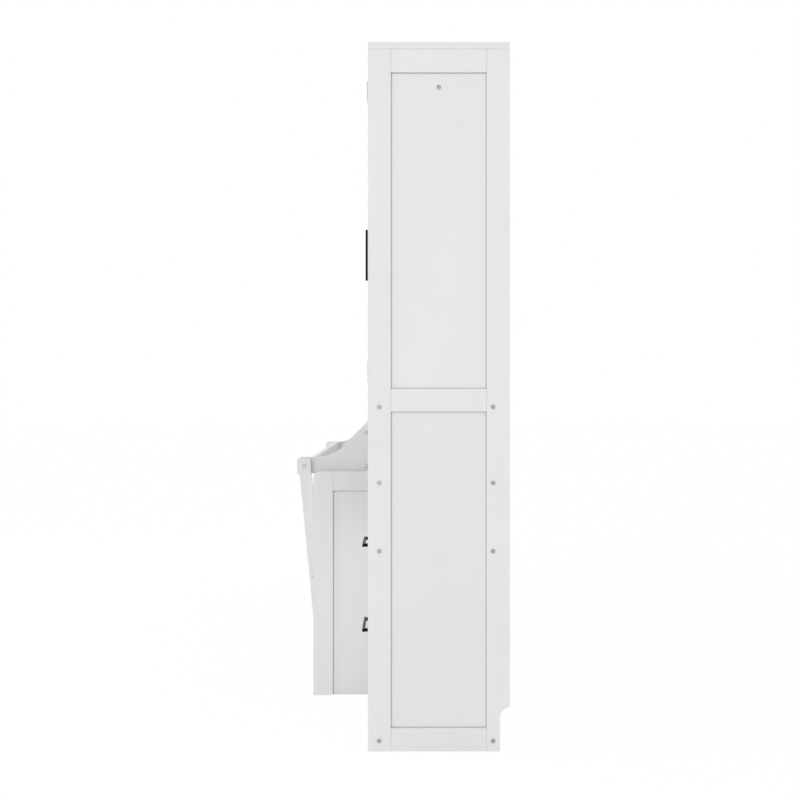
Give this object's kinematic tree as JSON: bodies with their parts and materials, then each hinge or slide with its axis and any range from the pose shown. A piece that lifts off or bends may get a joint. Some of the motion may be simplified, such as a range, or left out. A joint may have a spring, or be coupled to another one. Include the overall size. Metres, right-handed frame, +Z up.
{
  "type": "wall bed",
  "caption": "White wall bed that folds down from between tall side cabinets, with a ledge that stays level on swinging arms, drop legs, cabinet doors and drawers.",
  "frame": {"origin": "on the floor, under the middle of the box that holds the closed wall bed", "axes": "+X along the wall to the right of someone who faces the bed, +Y to the wall, +Z up"},
  "size_m": [2.665, 0.7064, 2.15],
  "materials": {
    "white_lacquer": "satin",
    "slat_pine": "planed",
    "black_metal": "satin",
    "zinc_steel": "satin",
    "chrome_plate": "gloss"
  },
  "bodies": {
    "carcass": {"right_outer_side": "white_lacquer", "right_inner_side": "white_lacquer", "right_fixed_shelves": "white_lacquer", "right_front_rails": "white_lacquer", "right_clothes_rail": "chrome_plate", "right_hinge_case_leaves": "chrome_plate", "right_drawer_runners": "slat_pine", "right_base_side": "white_lacquer", "left_outer_side": "white_lacquer", "left_inner_side": "white_lacquer", "left_fixed_shelves": "white_lacquer", "left_front_rails": "white_lacquer", "left_clothes_rail": "chrome_plate", "left_hinge_case_leaves": "chrome_plate", "left_drawer_runners": "slat_pine", "left_base_side": "white_lacquer", "back_panels": "white_lacquer", "top_boards": "white_lacquer", "bay_fascia": "white_lacquer", "cross_rails": "white_lacquer", "carcass_bolts": "zinc_steel", "bed_pivot_pins": "zinc_steel", "arm_pivot_pins": "zinc_steel", "strut_foot_brackets": "zinc_steel"},
    "bed": {"bed_frame_rails": "white_lacquer", "bed_slats": "slat_pine", "bed_face_frame": "white_lacquer", "bed_face_panels": "white_lacquer", "bed_pivot_bushes": "zinc_steel", "strut_head_brackets": "zinc_steel", "ledge_hinge_lugs": "zinc_steel", "leg_brackets": "zinc_steel"},
    "ledge": {"ledge_boards": "white_lacquer", "ledge_bolts": "zinc_steel", "ledge_hinge_straps": "zinc_steel"},
    "arms": {"swing_arms": "white_lacquer", "arm_cross_bar": "white_lacquer", "arm_bolts": "zinc_steel"},
    "strut_tubes": {"strut_cylinders": "black_metal"},
    "strut_pistons": {"strut_rods": "chrome_plate"},
    "legs": {"drop_legs": "white_lacquer"},
    "right_door": {"right_door": "white_lacquer", "right_door_handle": "black_metal", "right_hinge_door_leaves": "chrome_plate"},
    "right_upper_drawer": {"right_upper_drawer_front": "white_lacquer", "right_upper_drawer_box": "white_lacquer", "right_upper_drawer_handle": "black_metal"},
    "right_lower_drawer": {"right_lower_drawer_front": "white_lacquer", "right_lower_drawer_box": "white_lacquer", "right_lower_drawer_handle": "black_metal"},
    "left_door": {"left_door": "white_lacquer", "left_door_handle": "black_metal", "left_hinge_door_leaves": "chrome_plate"},
    "left_upper_drawer": {"left_upper_drawer_front": "white_lacquer", "left_upper_drawer_box": "white_lacquer", "left_upper_drawer_handle": "black_metal"},
    "left_lower_drawer": {"left_lower_drawer_front": "white_lacquer", "left_lower_drawer_box": "white_lacquer", "left_lower_drawer_handle": "black_metal"}
  },
  "joints": [
    {"name": "bed_fold", "type": "hinge", "parent": "carcass", "child": "bed", "pos_m": [0, -0.02269, 0.37101], "axis": [1, 0, 0], "range_deg": [0, 90], "stiffness_Nm_per_rad": 60, "springref_deg": -57.3},
    {"name": "ledge_level", "type": "hinge", "parent": "bed", "child": "ledge", "pos_m": [0, -0.08275, 0.99701], "axis": [1, 0, 0], "range_deg": [-90, 0]},
    {"name": "arm_swing", "type": "hinge", "parent": "carcass", "child": "arms", "pos_m": [0, -0.26869, 0.2], "axis": [1, 0, 0], "range_deg": [0, 90]},
    {"name": "leg_drop", "type": "hinge", "parent": "bed", "child": "legs", "pos_m": [0, -0.08325, 1.99], "axis": [1, 0, 0], "range_deg": [-90, 0]},
    {"name": "strut_swing", "type": "hinge", "parent": "carcass", "child": "strut_tubes", "pos_m": [0, -0.11669, 0.06], "axis": [1, 0, 0], "range_deg": [0, 52.66]},
    {"name": "strut_stroke", "type": "slide", "parent": "strut_tubes", "child": "strut_pistons", "axis": [0, -0.0979, -0.9952], "range_m": [0, 0.29514]},
    {"name": "right_door_swing", "type": "hinge", "parent": "carcass", "child": "right_door", "pos_m": [1.30675, -0.07895, 1.056], "axis": [0, 0, 1], "range_deg": [0, 110]},
    {"name": "right_upper_drawer_slide", "type": "slide", "parent": "carcass", "child": "right_upper_drawer", "axis": [0, -1, 0], "range_m": [0, 0.3]},
    {"name": "right_lower_drawer_slide", "type": "slide", "parent": "carcass", "child": "right_lower_drawer", "axis": [0, -1, 0], "range_m": [0, 0.3]},
    {"name": "left_door_swing", "type": "hinge", "parent": "carcass", "child": "left_door", "pos_m": [-1.30675, -0.07895, 1.056], "axis": [0, 0, -1], "range_deg": [0, 110]},
    {"name": "left_upper_drawer_slide", "type": "slide", "parent": "carcass", "child": "left_upper_drawer", "axis": [0, -1, 0], "range_m": [0, 0.3]},
    {"name": "left_lower_drawer_slide", "type": "slide", "parent": "carcass", "child": "left_lower_drawer", "axis": [0, -1, 0], "range_m": [0, 0.3]}
  ],
  "couplings": [
    {"joint": "ledge_level", "follows": "bed_fold", "ratio": -1},
    {"joint": "arm_swing", "follows": "bed_fold", "ratio": 1},
    {"joint": "leg_drop", "follows": "bed_fold", "ratio": -1},
    {"joint": "strut_swing", "follows": "bed_fold", "ratio": 0.58287},
    {"joint": "strut_stroke", "follows": "bed_fold", "m_per_rad": 0.18777}
  ]
}
